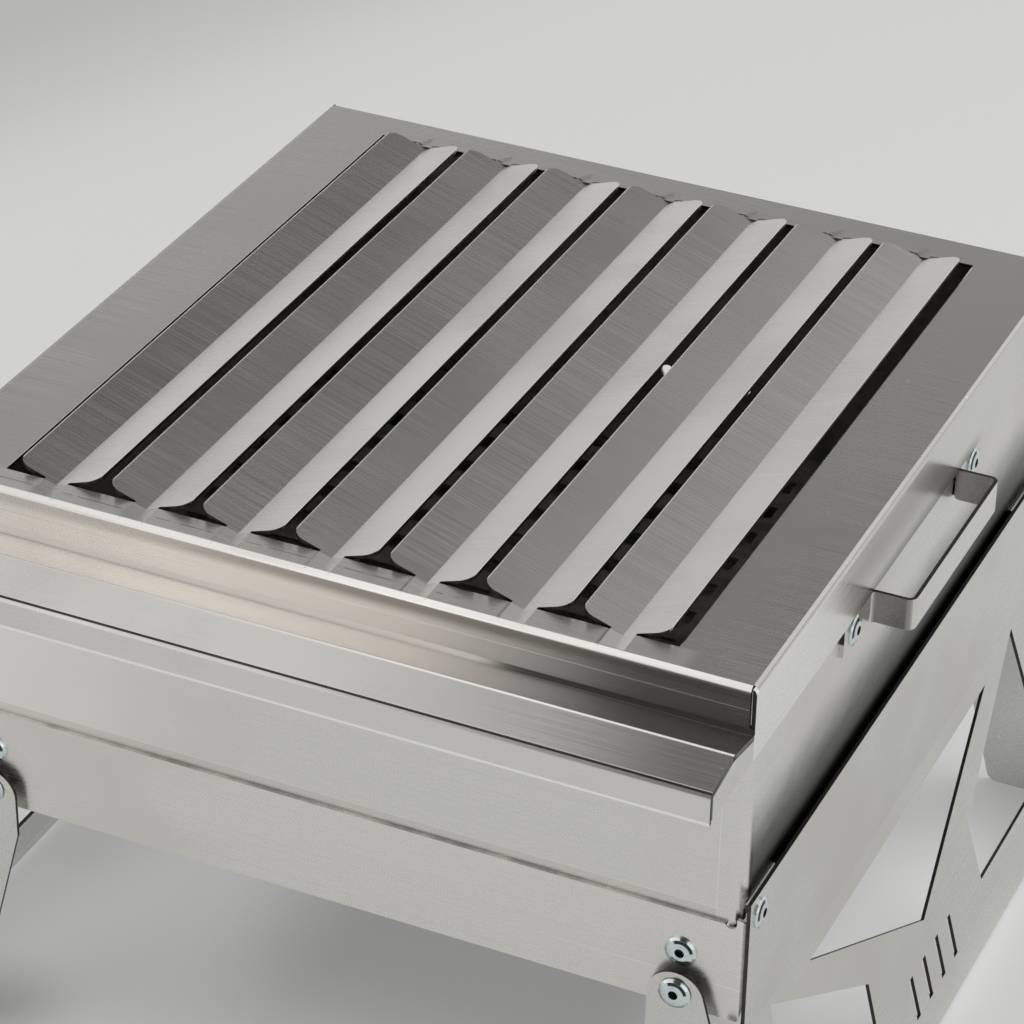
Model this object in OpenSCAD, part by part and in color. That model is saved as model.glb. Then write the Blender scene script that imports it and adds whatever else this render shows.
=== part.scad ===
// Portable charcoal grill of folded sheet steel: a firebox on two folding leg frames,
// under a lift-off grill plate with sprung strips and a grease gutter at its front.
// Origin on the floor, midway between the gutter's lip and the rear flange. X right, Y back, Z up.

/* [Sheet] */
// Thickness of the sheet steel
sheet_t = 1.5; // [1:0.1:2]
// Inner radius of a sharp fold
bend_r = 1; // [0.5:0.1:1.5]

/* [Firebox] */
// Width of the firebox over its side walls
box_w = 335; // [325:1:400]
// Depth of the firebox over its front and rear walls
box_d = 327; // [300:1:400]
// Outer radius of the upright corners
box_corner_r = 6; // [4:0.5:10]
// Number of air holes in the rear wall
vent_n = 7; // [3:1:8]
// Radius of an air hole
vent_r = 3; // [2:0.5:8]
// Distance from air hole to air hole
vent_pitch = 36; // [20:1:40]
// Height of the air holes above the underside of the floor
vent_h = 62; // [56:1:80]

/* [Grill plate] */
// Height of the plate's top above the floor
plate_top = 260; // [250:1:300]
// Clearance between the side flanges and the side walls
skirt_gap = 1; // [0.5:0.1:3]
// Clearance between the plate's front wall and the firebox
front_gap = 5; // [4:0.5:12]
// Clearance between the rear flange and the firebox
rear_gap = 10; // [8:0.5:20]
// Height of the side and rear flanges
skirt_h = 29.7; // [24:0.1:40]
// Height of the front wall from the top to the gutter
front_wall_h = 18.5; // [12:0.5:20]
// Distance from the front wall to the face of the lip
gutter_d = 40; // [30:1:60]
// Distance from the front wall to the gutter's ridge
ridge_out = 19.5; // [15:0.5:26]
// Rise of the gutter's ridge above its edges
ridge_rise = 3.5; // [1:0.5:5]
// Height of the lip
lip_h = 12.5; // [8:0.5:16]
// Width of the open slit between the front wall and a side flange
slit_w = 0.8; // [0.4:0.1:1.5]

/* [Slots] */
// Number of slots
slot_n = 8; // [5:1:8]
// Distance from slot to slot
slot_pitch = 38.1; // [34:0.1:40]
// Width of a slot
slot_w = 4.5; // [3:0.1:7]
// Distance from the front wall to the slots
front_margin = 13; // [9:0.5:25]
// Distance from the rear flange to the slots
rear_margin = 18.5; // [14:0.5:30]
// Reach of the cross cut to either side of a slot
tee_reach = 14.2; // [10:0.1:15]
// Width of the cross cut
tee_w = 1.2; // [0.8:0.1:2]
// Slope of a strip's two halves
vee_angle = 18.1; // [8:0.1:22]
// Radius of a strip's corners
strip_corner_r = 5; // [2:0.5:8]
// Length over which a strip's crease runs out at the rear
dimple_l = 6.5; // [3:0.5:10]

/* [Aprons] */
// Height of an apron's face
apron_h = 43; // [36:0.5:50]
// Drop of the apron's lower edge below the firebox
apron_drop = 1; // [0.5:0.1:2]
// Length of an apron's end tabs
tab_l = 30; // [26:1:50]
// Rise of the end tabs above the apron's face
tab_rise = 9; // [8:0.5:14]
// Width of the notch beside a fold
notch_w = 4.6; // [3:0.1:6]
// Depth of the notch below the upper edge
notch_drop = 1.5; // [1:0.1:3]
// Width of the ear between notch and fold
ear_w = 3.4; // [3:0.1:5]
// Rise of the ear above the upper edge
ear_rise = 3; // [1:0.5:5]
// Radius of the ear's corner
ear_r = 3; // [1:0.5:3]

/* [Rivets] */
// Radius of a rivet's head
head_r = 6.3; // [5:0.1:6.4]
// Height of a rivet's head
head_h = 2; // [1.5:0.1:2.2]
// Rise of the head's dome above its rim
dome_h = 1.4; // [0.8:0.1:1.4]
// Radius of a rivet's shank
shank_r = 2.6; // [2.2:0.1:3]
// Radius of the hole in a rivet's head
mandrel_r = 1.9; // [1:0.1:2]
// Depth of the hole in a rivet's head
mandrel_depth = 3; // [2:0.1:3.5]
// Radius of the blind end inside the firebox
tail_r = 4; // [3.5:0.1:4.4]
// Height of the blind end inside the firebox
tail_h = 2.5; // [1.5:0.1:3]

/* [Pivots] */
// Height of the leg pivots above the floor
pivot_h = 119; // [110:1:140]
// Distance of the pivots from the firebox's side
pivot_in = 22.8; // [20:0.1:30]
// Thickness of the spacer behind a leg
spacer_t = 2.5; // [2.4:0.1:4]
// Radius of the spacer behind a leg
spacer_r = 6; // [5:0.1:8]
// Clearance between a pivot and its hole
pivot_gap = 0.05; // [0.02:0.01:0.1]
// Height of the rivet above the pivot that holds the apron
apron_rivet_rise = 16; // [16:0.5:24]

/* [Leg frames] */
// Height of the upright band above the pivot
band_rise = 45.5; // [42:0.5:50]
// Drop of the fold below the pivot
fold_drop = 16; // [14:0.5:20]
// Slope of the panel outwards from the fold
splay = 15; // [8:1:20]
// Height of the panel's lower edge above the floor
web_lift = 2; // [1:0.5:6]
// Width of a leg over its fold
leg_w = 37; // [34:0.5:45]
// Radius of the lug round a pivot
lug_r = 11.2; // [9:0.1:13]
// Drop of the lug's round end below the pivot's centre
lug_drop = 2.4; // [0:0.1:3]
// Step between a leg's face and the end of the band
band_step = 3.8; // [3.2:0.1:5]
// Width of the slot between lug and fold
relief_w = 4.5; // [3:0.1:5]
// Rise of the folded edge above the panel's fold
edge_rise = 6; // [3:0.5:8]
// Radius of a foot's inner corner
foot_r = 5; // [3:0.5:8]
// Number of plain slots in the panel's lower rail
mark_n = 4; // [2:1:5]
// Width of a plain slot
mark_w = 4; // [2:0.5:6]
// Height of a plain slot
mark_h = 19; // [10:1:20]
// Distance from plain slot to plain slot
mark_pitch = 15; // [8:1:18]
// Distance of the stop rivets from the end of the band
stop_in = 9.7; // [9:0.1:12]
// Height of the stop rivets above the pivot
stop_rise = 36.4; // [36:0.1:38]
// Height of a stop rivet's inner end
stop_tail_h = 1.2; // [0.8:0.1:1.2]
// Clearance round a stop rivet's inner end
stop_gap = 1.5; // [1:0.1:1.6]

/* [Handles] */
// Length of a handle
handle_l = 98; // [80:1:140]
// Reach of a handle from the firebox's side
handle_out = 18.5; // [15:0.5:30]
// Width of a handle's strap
handle_w = 13.4; // [12.2:0.1:18]
// Length of a handle's feet
handle_foot_l = 28; // [24:1:45]
// Distance of a rivet from the end of its foot
handle_rivet_in = 10.5; // [8:0.5:16]
// Clearance between a strap and the plate's flange
handle_drop = 0.6; // [0.4:0.1:3]
// Inner radius of a handle's folds
handle_r = 2; // [1:0.5:3]

/* [Charcoal grate] */
// Height of the grate's rests above the underside of the floor
rest_h = 34; // [32:0.5:50]
// Width of a rest's shelf
rest_w = 14; // [8:0.5:20]
// Height of a rest's upright leg
rest_leg_h = 17; // [15:0.5:17]
// Clearance between a rest's ends and the side walls
rest_gap = 16; // [4:1:40]
// Clearance round the grate
grate_gap = 2; // [1.5:0.5:5]
// Number of slots along the grate's width
grate_cols = 4; // [3:1:5]
// Number of slots along the grate's depth
grate_rows = 13; // [8:1:14]
// Length of a slot in the grate
grate_slot_l = 60; // [30:1:62]
// Width of a slot in the grate
grate_slot_w = 10; // [6:0.5:12]

/* [Hidden] */
$fn = 64;

// Clearance at every seat and beside every swinging face
seat_gap = 0.3;
// Overrun of every cut
cut = 4;
// Degrees of a fold between two points of its outline
fold_step = 11.25;

// Outer radius of a sharp fold
bend_out = bend_r + sheet_t;
// Overall size of the plate, and the place of its front wall
plate_w = box_w + 2 * (skirt_gap + sheet_t);
plate_d = box_d + front_gap + rear_gap + 2 * sheet_t;
plate_front = (gutter_d - plate_d) / 2;
plate_rear = plate_front + plate_d;
box_mid = plate_front + sheet_t + front_gap + box_d / 2;

// Faces to the front of the firebox's middle, from the wall outwards
apron_face = box_d / 2 + sheet_t;
lug_face = apron_face + spacer_t + seat_gap;
frame_half = lug_face + sheet_t;
band_half = frame_half - band_step;

// Faces to the side
tab_face = box_w / 2 + sheet_t;
band_in = tab_face + seat_gap;
band_out = band_in + sheet_t;
pivot_x = box_w / 2 - pivot_in;
// The band's inner face turns about the pivot, and what is fixed stays inside this radius
swing_r = band_in - pivot_x - seat_gap;

// Heights above the floor
box_bottom = pivot_h - sqrt(pow(swing_r, 2) - pow(pivot_in, 2)) + seat_gap;
box_top = plate_top - sheet_t - seat_gap;
box_h = box_top - box_bottom;
apron_bottom = box_bottom - apron_drop;
apron_top = apron_bottom + apron_h;
fold_z = pivot_h - fold_drop;
band_top = pivot_h + band_rise;
stop_z = pivot_h + stop_rise;
rest_top = box_bottom + rest_h;
handle_top = plate_top - skirt_h - handle_drop;
handle_z = handle_top - handle_w / 2;

// Strips of the plate: surface level with the plate where the neck begins
strip_half = (slot_pitch - slot_w) / 2;
neck_half = slot_pitch / 2 - tee_reach;
vee_t = sheet_t / cos(vee_angle);
function vee_z(x) = (abs(x) - neck_half) * tan(vee_angle);
strip_x = [for (i = [1 : slot_n - 1]) (i - slot_n / 2) * slot_pitch];
field_half = (slot_n - 1) / 2 * slot_pitch + slot_w / 2;
field_front = plate_front + front_margin;
field_rear = plate_rear - rear_margin;

// Slanted panel of a leg frame: its outer face at a height, and a line inside that face
web_len = (fold_z - web_lift) / cos(splay);
function web_x(z) = band_out + (fold_z - z) * tan(splay);
function inside_x(depth, z) = web_x(z) - depth / cos(splay);

// Cut-outs of the panel: shares of its half depth and of its slanted length
bay_shares = [[-0.605, 0.076], [0, 0.553], [0.605, 0.076]];
side_bay_shares = [[0.827, 0.02], [0.351, 0.461], [0.36, 0.746], [0.892, 0.746]];
mark_share = 0.77;

steel = [0.74, 0.73, 0.71];
dark_steel = [0.45, 0.44, 0.43];
zinc = [0.80, 0.86, 0.88];

// Helpers for folded sheet
function unit(v) = v / norm(v);
function left(v) = [-v.y, v.x];
function turn(a, b, c) = atan2(cross(b - a, c - b), (b - a) * (c - b));
// Distance from a corner of the path to the start of its fold
function setback(p, i, r) =
    i == 0 || i == len(p) - 1 ? 0
    : let (a = turn(p[i - 1], p[i], p[i + 1])) (a > 0 ? r + sheet_t : r) * tan(abs(a) / 2);

function arc(centre, r, from, by) =
    let (n = ceil(abs(by) / fold_step)) [for (i = [0 : n]) centre + r * [cos(from + by * i / n), sin(from + by * i / n)]];

// Points of one side of the sheet: the face that follows the path, or the other side
function side_points(p, r, other) = [
    for (i = [0 : len(p) - 1])
        let (along = unit(i == 0 ? p[1] - p[0] : p[i] - p[i - 1]))
        if (i == 0 || i == len(p) - 1) p[i] + left(along) * (other ? sheet_t : 0)
        else
            let (by = turn(p[i - 1], p[i], p[i + 1]),
                 inwards = by > 0,
                 start = p[i] - along * setback(p, i, r),
                 centre = start + left(along) * (inwards ? r + sheet_t : -r),
                 from = atan2(along.y, along.x) + (inwards ? -90 : 90))
            each arc(centre, inwards == other ? r : r + sheet_t, from, by)
];

// Section of a folded sheet: one face follows the points, the thickness lies to the left
module sheet_path(p, r = bend_r) {
    far = side_points(p, r, true);
    polygon(concat(side_points(p, r, false), [for (i = [len(far) - 1 : -1 : 0]) far[i]]));
}

module rounded_rect(w, d, r) {
    square([w, d - 2 * r], center = true);
    square([w - 2 * r, d], center = true);
    for (x = [-1, 1], y = [-1, 1]) translate([x * (w / 2 - r), y * (d / 2 - r)]) circle(r);
}

// A section in Y and Z, drawn along X, and a section in X and Z, drawn along Y
module along_x(w) {
    translate([-w / 2, 0, 0]) rotate([90, 0, 90]) linear_extrude(w) children();
}
module along_y(from, to) {
    translate([0, to, 0]) rotate([90, 0, 0]) linear_extrude(to - from) children();
}

// A place at the firebox's middle, and its copy on the far side of that middle
module at_box(rear = false) {
    translate([0, box_mid, 0]) mirror([0, rear ? 1 : 0, 0]) children();
}
module at_left(is_left) {
    mirror([is_left ? 1 : 0, 0, 0]) children();
}

// Rivet along -Z with the underside of its head at zero
module rivet(grip, end_r = tail_r, end_h = tail_h) {
    dome_r = (pow(head_r, 2) + pow(dome_h, 2)) / (2 * dome_h);
    rotate_extrude() difference() {
        union() {
            intersection() {
                square([head_r, head_h]);
                translate([0, head_h - dome_r]) circle(dome_r, $fn = 180);
            }
            translate([0, -grip]) square([shank_r, grip]);
            translate([0, -grip - end_h]) square([end_r, end_h]);
        }
        translate([0, head_h - mandrel_depth]) square([mandrel_r, mandrel_depth + cut]);
        translate([-head_r - cut, -grip - cut]) square([head_r + cut, grip + head_h + 2 * cut]);
    }
}

// Level hole through the front wall and what stands before it
module front_hole(x, z, r) {
    translate([x, -box_d / 2 + cut, z]) rotate([90, 0, 0]) cylinder(h = spacer_t + 2 * cut, r = r);
}

module firebox_shell() {
    inner_r = box_corner_r - sheet_t;
    end_top = plate_top + vee_z(0) - vee_t - seat_gap;
    color(steel) at_box() difference() {
        union() {
            translate([0, 0, box_bottom]) linear_extrude(box_h) difference() {
                rounded_rect(box_w, box_d, box_corner_r);
                rounded_rect(box_w - 2 * sheet_t, box_d - 2 * sheet_t, inner_r);
            }
            translate([0, 0, box_bottom]) linear_extrude(sheet_t) rounded_rect(box_w, box_d, box_corner_r);
        }
        translate([-box_w / 2 + box_corner_r, -box_d / 2 - cut, end_top])
            cube([box_w - 2 * box_corner_r, box_d + 2 * cut, box_top - end_top + cut]);
        for (side = [-1, 1]) for (rear = [0, 1]) mirror([0, rear, 0]) {
            front_hole(side * pivot_x, pivot_h, shank_r + pivot_gap);
            front_hole(side * pivot_x, pivot_h + apron_rivet_rise, shank_r + pivot_gap);
            translate([side * (box_w / 2 + cut), -handle_l / 2 - handle_foot_l + handle_rivet_in, handle_z])
                rotate([0, -side * 90, 0]) cylinder(h = sheet_t + 2 * cut, r = shank_r + pivot_gap);
        }
        for (i = [0 : vent_n - 1])
            translate([(i - (vent_n - 1) / 2) * vent_pitch, box_d / 2 + cut, box_bottom + vent_h])
                rotate([90, 0, 0]) cylinder(h = sheet_t + 2 * cut, r = vent_r);
    }
}

// What is cut from an apron, seen from its front
module apron_cuts() {
    notch_in = tab_face - ear_w - notch_w;
    notch_r = notch_w / 2;
    translate([-notch_in, apron_top]) square([2 * notch_in, tab_rise + cut]);
    for (side = [0, 1]) mirror([side, 0]) {
        translate([notch_in + notch_r, apron_top - notch_drop + notch_r]) circle(notch_r);
        translate([notch_in, apron_top - notch_drop + notch_r])
            square([notch_w, tab_rise + notch_drop + cut]);
        translate([notch_in + notch_w, apron_top + ear_rise]) square([ear_w + cut, tab_rise + cut]);
        difference() {
            translate([tab_face - ear_r, apron_top + ear_rise - ear_r]) square(ear_r + cut);
            translate([tab_face - ear_r, apron_top + ear_rise - ear_r]) circle(ear_r);
        }
    }
}

module apron(rear) {
    color(steel) at_box(rear) difference() {
        translate([0, 0, apron_bottom]) linear_extrude(apron_h + tab_rise)
            sheet_path([[-tab_face, tab_l - apron_face], [-tab_face, -apron_face],
                        [tab_face, -apron_face], [tab_face, tab_l - apron_face]]);
        along_y(-apron_face - cut, -apron_face + bend_out) apron_cuts();
        // The lower corners follow the swing of the leg's band
        along_y(-apron_face - cut, tab_l - apron_face + cut) for (side = [0, 1]) mirror([side, 0])
            difference() {
                translate([pivot_x, apron_bottom - cut])
                    square([tab_face + cut - pivot_x, pivot_h - apron_bottom + cut]);
                translate([pivot_x, pivot_h]) circle(swing_r, $fn = 180);
            }
        for (side = [-1, 1]) {
            front_hole(side * pivot_x, pivot_h, shank_r + pivot_gap);
            front_hole(side * pivot_x, pivot_h + apron_rivet_rise, shank_r + pivot_gap);
            translate([side * (tab_face + cut), stop_in - band_half, stop_z])
                rotate([0, -side * 90, 0]) cylinder(h = sheet_t + 2 * cut, r = tail_r + stop_gap);
        }
    }
}
module front_apron() { apron(false); }
module rear_apron() { apron(true); }

module grate_rest(rear) {
    wall = -box_d / 2 + sheet_t;
    color(steel) at_box(rear) difference() {
        along_x(box_w - 2 * (sheet_t + rest_gap))
            sheet_path([[wall + rest_w, rest_top], [wall, rest_top], [wall, rest_top - rest_leg_h]]);
        for (side = [-1, 1]) front_hole(side * pivot_x, pivot_h + apron_rivet_rise, shank_r + pivot_gap);
    }
}
module grate_rest_front() { grate_rest(false); }
module grate_rest_rear() { grate_rest(true); }

module apron_rivet(is_left, rear) {
    color(zinc) at_left(is_left) at_box(rear)
        translate([pivot_x, -apron_face, pivot_h + apron_rivet_rise]) rotate([90, 0, 0]) rivet(3 * sheet_t);
}
module apron_rivet_fl() { apron_rivet(true, false); }
module apron_rivet_fr() { apron_rivet(false, false); }
module apron_rivet_rl() { apron_rivet(true, true); }
module apron_rivet_rr() { apron_rivet(false, true); }

module pivot_rivet(is_left, rear) {
    grip = frame_half + seat_gap - box_d / 2 + sheet_t;
    color(zinc) at_left(is_left) at_box(rear)
        translate([pivot_x, -frame_half - seat_gap, pivot_h]) rotate([90, 0, 0]) rivet(grip);
}
module pivot_rivet_fl() { pivot_rivet(true, false); }
module pivot_rivet_fr() { pivot_rivet(false, false); }
module pivot_rivet_rl() { pivot_rivet(true, true); }
module pivot_rivet_rr() { pivot_rivet(false, true); }

module pivot_spacer(is_left, rear) {
    color(dark_steel) at_left(is_left) at_box(rear) translate([pivot_x, -apron_face, pivot_h])
        rotate([90, 0, 0]) linear_extrude(spacer_t) difference() {
            circle(spacer_r);
            circle(shank_r + pivot_gap);
        }
}
module pivot_spacer_fl() { pivot_spacer(true, false); }
module pivot_spacer_fr() { pivot_spacer(false, false); }
module pivot_spacer_rl() { pivot_spacer(true, true); }
module pivot_spacer_rr() { pivot_spacer(false, true); }

module handle(is_left) {
    foot_end = handle_l / 2 + handle_foot_l;
    out = box_w / 2 + handle_out;
    color(steel) at_left(is_left) at_box() difference() {
        translate([0, 0, handle_top - handle_w]) linear_extrude(handle_w)
            sheet_path([[tab_face, -foot_end], [tab_face, -handle_l / 2], [out, -handle_l / 2],
                        [out, handle_l / 2], [tab_face, handle_l / 2], [tab_face, foot_end]], handle_r);
        for (end = [-1, 1])
            translate([box_w / 2 - cut, end * (foot_end - handle_rivet_in), handle_z])
                rotate([0, 90, 0]) cylinder(h = sheet_t + 2 * cut, r = shank_r + pivot_gap);
    }
}
module handle_left() { handle(true); }
module handle_right() { handle(false); }

module handle_rivet(is_left, rear) {
    color(zinc) at_left(is_left) at_box(rear)
        translate([tab_face, -handle_l / 2 - handle_foot_l + handle_rivet_in, handle_z])
            rotate([0, 90, 0]) rivet(2 * sheet_t);
}
module handle_rivet_fl() { handle_rivet(true, false); }
module handle_rivet_fr() { handle_rivet(false, false); }
module handle_rivet_rl() { handle_rivet(true, true); }
module handle_rivet_rr() { handle_rivet(false, true); }

module charcoal_grate() {
    w = box_w - 2 * (sheet_t + grate_gap);
    d = box_d - 2 * (sheet_t + grate_gap);
    col_pitch = w / grate_cols;
    row_pitch = (d - 2 * rest_w) / grate_rows;
    color(dark_steel) at_box() translate([0, 0, rest_top + seat_gap]) linear_extrude(sheet_t) difference() {
        square([w, d], center = true);
        for (i = [0 : grate_cols - 1], j = [0 : grate_rows - 1])
            translate([(i - (grate_cols - 1) / 2) * col_pitch, (j - (grate_rows - 1) / 2) * row_pitch])
                square([grate_slot_l, grate_slot_w], center = true);
    }
}

// Sheet of one strip in section: two halves that rise from the crease to the slots
module vee() {
    across = [-strip_half, -neck_half, 0, neck_half, strip_half];
    polygon([for (x = across) [x, vee_z(x)], for (x = across) [-x, vee_z(x) - vee_t]]);
}

// One strip with its necks, at the middle of its width
module strip() {
    from = plate_front + sheet_t;
    to = field_rear + tee_w;
    length = field_rear - field_front - 2 * tee_w;
    intersection() {
        translate([0, 0, plate_top]) along_y(from, to) vee();
        translate([0, 0, box_bottom]) linear_extrude(plate_top) {
            translate([0, (field_front + field_rear) / 2])
                rounded_rect(2 * strip_half, length, strip_corner_r);
            translate([-neck_half, from]) square([2 * neck_half, to - from]);
        }
    }
}

// The crease runs out to the rear between two facets: what lies above them, up to this height
module dimple(high) {
    start = field_rear - tee_w;
    corners = [[-neck_half, start, 0], [0, start, vee_z(0)], [neck_half, start, 0],
               [0, field_rear + dimple_l, 0]];
    polyhedron([for (c = corners) c, for (i = [0, 2, 3]) corners[i] + [0, 0, high]],
               [[0, 1, 3], [1, 2, 3], [0, 4, 5, 2, 1], [2, 5, 6, 3], [3, 6, 4, 0], [4, 6, 5]]);
}

module grill_plate() {
    side = plate_w / 2;
    wall_half = side - sheet_t - slit_w;
    low = plate_top - skirt_h;
    gutter_z = plate_top - front_wall_h;
    ridge = [plate_front - ridge_out, gutter_z + ridge_rise];
    edge = [plate_front - gutter_d, gutter_z];
    wall_end = gutter_z + bend_out;
    half_t = sheet_t / 2;
    color(steel) {
        difference() {
            union() {
                // Top and side flanges
                difference() {
                    along_y(plate_front, plate_rear)
                        sheet_path([[side, low], [side, plate_top], [-side, plate_top], [-side, low]]);
                    translate([sheet_t - side, plate_front - cut, low - cut])
                        cube([2 * (side - sheet_t), bend_out + cut, skirt_h + 2 * cut]);
                    translate([sheet_t - side, plate_rear - bend_out, low - cut])
                        cube([2 * (side - sheet_t), bend_out + cut, skirt_h + 2 * cut]);
                }
                // Front wall, gutter and lip, with the wall cut short of the side flanges
                difference() {
                    along_x(plate_w)
                        sheet_path([[field_front, plate_top], [plate_front, plate_top], [plate_front, gutter_z],
                                    ridge, edge, [edge.x, gutter_z - lip_h]]);
                    for (end = [0, 1]) mirror([end, 0, 0]) translate([wall_half, plate_front - cut, wall_end])
                        cube([side, front_margin + 2 * cut, front_wall_h]);
                }
                along_x(2 * wall_half)
                    sheet_path([[plate_rear, low], [plate_rear, plate_top], [field_rear, plate_top]]);
                // Cheeks close the gutter's ends below it
                for (end = [0, 1]) mirror([end, 0, 0]) translate([side - sheet_t, 0, 0])
                    rotate([90, 0, 90]) linear_extrude(sheet_t)
                        polygon([[plate_front + bend_out, low], [plate_front + bend_out, wall_end],
                                 [plate_front, wall_end], [plate_front, gutter_z - half_t],
                                 [ridge.x, ridge.y - half_t], [edge.x + bend_out, gutter_z - half_t],
                                 [edge.x + half_t, gutter_z - bend_out], [edge.x + half_t, low]]);
            }
            translate([0, 0, box_top - cut]) linear_extrude(2 * cut) {
                translate([-field_half, field_front]) square([2 * field_half, field_rear - field_front]);
                for (x = strip_x) translate([x - neck_half, plate_front + bend_out])
                    square([2 * neck_half, front_margin]);
            }
            for (x = strip_x) translate([x, 0, plate_top]) dimple(cut);
        }
        for (x = strip_x) {
            translate([x, 0, 0]) strip();
            translate([x, 0, plate_top - sheet_t]) dimple(half_t);
        }
    }
}

// Leg, lug and folded edge in one outline, in X and Z
module leg_outline() {
    lug_edge = pivot_x - lug_r;
    lug_z = pivot_h - lug_drop;
    knee_z = fold_z + (web_x(fold_z) - leg_w / cos(splay) - lug_edge) / tan(splay);
    foot_back = foot_r * tan((90 - splay) / 2);
    foot_x = inside_x(leg_w, 0) + foot_back;
    foot_z = foot_back * cos(splay);
    edge_z = fold_z + edge_rise;
    lug_out = [pivot_x + lug_r * cos(splay), lug_z + lug_r * sin(splay)];
    difference() {
        union() {
            translate([pivot_x, lug_z]) circle(lug_r);
            translate([foot_x, foot_r]) circle(foot_r);
            polygon([[pivot_x, lug_z], [lug_edge, lug_z], [lug_edge, knee_z],
                     [inside_x(leg_w, foot_z), foot_z], [foot_x, foot_r], [foot_x, 0],
                     [inside_x(bend_out, 0), 0], [inside_x(bend_out, edge_z), edge_z],
                     [lug_out.x + (lug_out.y - edge_z) * tan(splay), edge_z], lug_out]);
        }
        translate([pivot_x, pivot_h]) circle(shank_r + pivot_gap);
        relief_slot(lug_out);
    }
}

// Slot with a round end, along the lug's outer edge
module relief_slot(start) {
    r = relief_w / 2;
    bottom = fold_z - edge_rise;
    middle = start.x + (start.y - bottom) * tan(splay) + r / cos(splay);
    translate([middle, bottom]) circle(r);
    translate([middle, bottom]) rotate(splay) translate([-r, 0])
        square([relief_w, fold_drop + edge_rise]);
}

// Frame of the slanted panel: its outer face at zero, down along -Z
module in_web() {
    translate([band_out, 0, fold_z]) rotate([0, -splay, 0]) children();
}

module leg_frame(is_left) {
    stub = web_x(fold_z - fold_drop);
    fold_back = bend_out * tan(splay / 2);
    color(steel) at_left(is_left) at_box() difference() {
        union() {
            along_y(-band_half, band_half)
                sheet_path([[stub, fold_z - fold_drop], [band_out, fold_z], [band_out, band_top]]);
            in_web() translate([-sheet_t, bend_out - frame_half, -web_len])
                cube([sheet_t, 2 * (frame_half - bend_out), web_len - fold_back]);
            for (rear = [0, 1]) mirror([0, rear, 0]) {
                along_y(-frame_half, -frame_half + sheet_t) leg_outline();
                intersection() {
                    in_web() translate([-bend_out, bend_out - frame_half, -web_len - leg_w])
                        linear_extrude(web_len + 2 * leg_w) intersection() {
                            difference() {
                                circle(bend_out);
                                circle(bend_r);
                            }
                            translate([0, -bend_out]) square(bend_out);
                        }
                    translate([0, -frame_half, 0]) cube([plate_w, bend_out, fold_z + edge_rise]);
                }
            }
        }
        in_web() translate([-sheet_t - cut, 0, 0]) rotate([90, 0, 90]) linear_extrude(sheet_t + 2 * cut) {
            polygon([for (s = bay_shares) [s.x * frame_half, -s.y * web_len]]);
            for (rear = [0, 1]) mirror([rear, 0])
                polygon([for (s = side_bay_shares) [s.x * frame_half, -s.y * web_len]]);
            for (i = [0 : mark_n - 1])
                translate([(i - (mark_n - 1) / 2) * mark_pitch, -mark_share * web_len])
                    square([mark_w, mark_h], center = true);
        }
        for (end = [-1, 1]) translate([band_in - cut, end * (band_half - stop_in), stop_z])
            rotate([0, 90, 0]) cylinder(h = sheet_t + 2 * cut, r = shank_r + pivot_gap);
    }
}
module leg_frame_left() { leg_frame(true); }
module leg_frame_right() { leg_frame(false); }

module stop_rivet(is_left, rear) {
    color(zinc) at_left(is_left) at_box(rear) translate([band_out, stop_in - band_half, stop_z])
        rotate([0, 90, 0]) rivet(sheet_t, tail_r, stop_tail_h);
}
module stop_rivet_fl() { stop_rivet(true, false); }
module stop_rivet_fr() { stop_rivet(false, false); }
module stop_rivet_rl() { stop_rivet(true, true); }
module stop_rivet_rr() { stop_rivet(false, true); }

firebox_shell();
front_apron();
rear_apron();
grate_rest_front();
grate_rest_rear();
apron_rivet_fl();
apron_rivet_fr();
apron_rivet_rl();
apron_rivet_rr();
pivot_rivet_fl();
pivot_rivet_fr();
pivot_rivet_rl();
pivot_rivet_rr();
pivot_spacer_fl();
pivot_spacer_fr();
pivot_spacer_rl();
pivot_spacer_rr();
handle_left();
handle_right();
handle_rivet_fl();
handle_rivet_fr();
handle_rivet_rl();
handle_rivet_rr();
charcoal_grate();
grill_plate();
leg_frame_left();
leg_frame_right();
stop_rivet_fl();
stop_rivet_fr();
stop_rivet_rl();
stop_rivet_rr();
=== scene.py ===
import math
import bpy
from mathutils import Matrix, Vector

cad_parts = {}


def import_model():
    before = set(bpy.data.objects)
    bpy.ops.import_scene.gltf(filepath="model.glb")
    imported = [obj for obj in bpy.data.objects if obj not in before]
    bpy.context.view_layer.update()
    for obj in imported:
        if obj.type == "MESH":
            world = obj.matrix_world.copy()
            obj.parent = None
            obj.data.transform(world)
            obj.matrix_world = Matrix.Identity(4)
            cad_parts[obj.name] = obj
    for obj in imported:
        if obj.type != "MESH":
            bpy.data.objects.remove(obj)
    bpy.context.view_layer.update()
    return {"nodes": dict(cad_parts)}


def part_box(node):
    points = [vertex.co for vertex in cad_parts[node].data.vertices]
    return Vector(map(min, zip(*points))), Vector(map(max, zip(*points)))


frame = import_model()
N = frame["nodes"]
CORNERS = ("fl", "fr", "rl", "rr")

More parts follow.
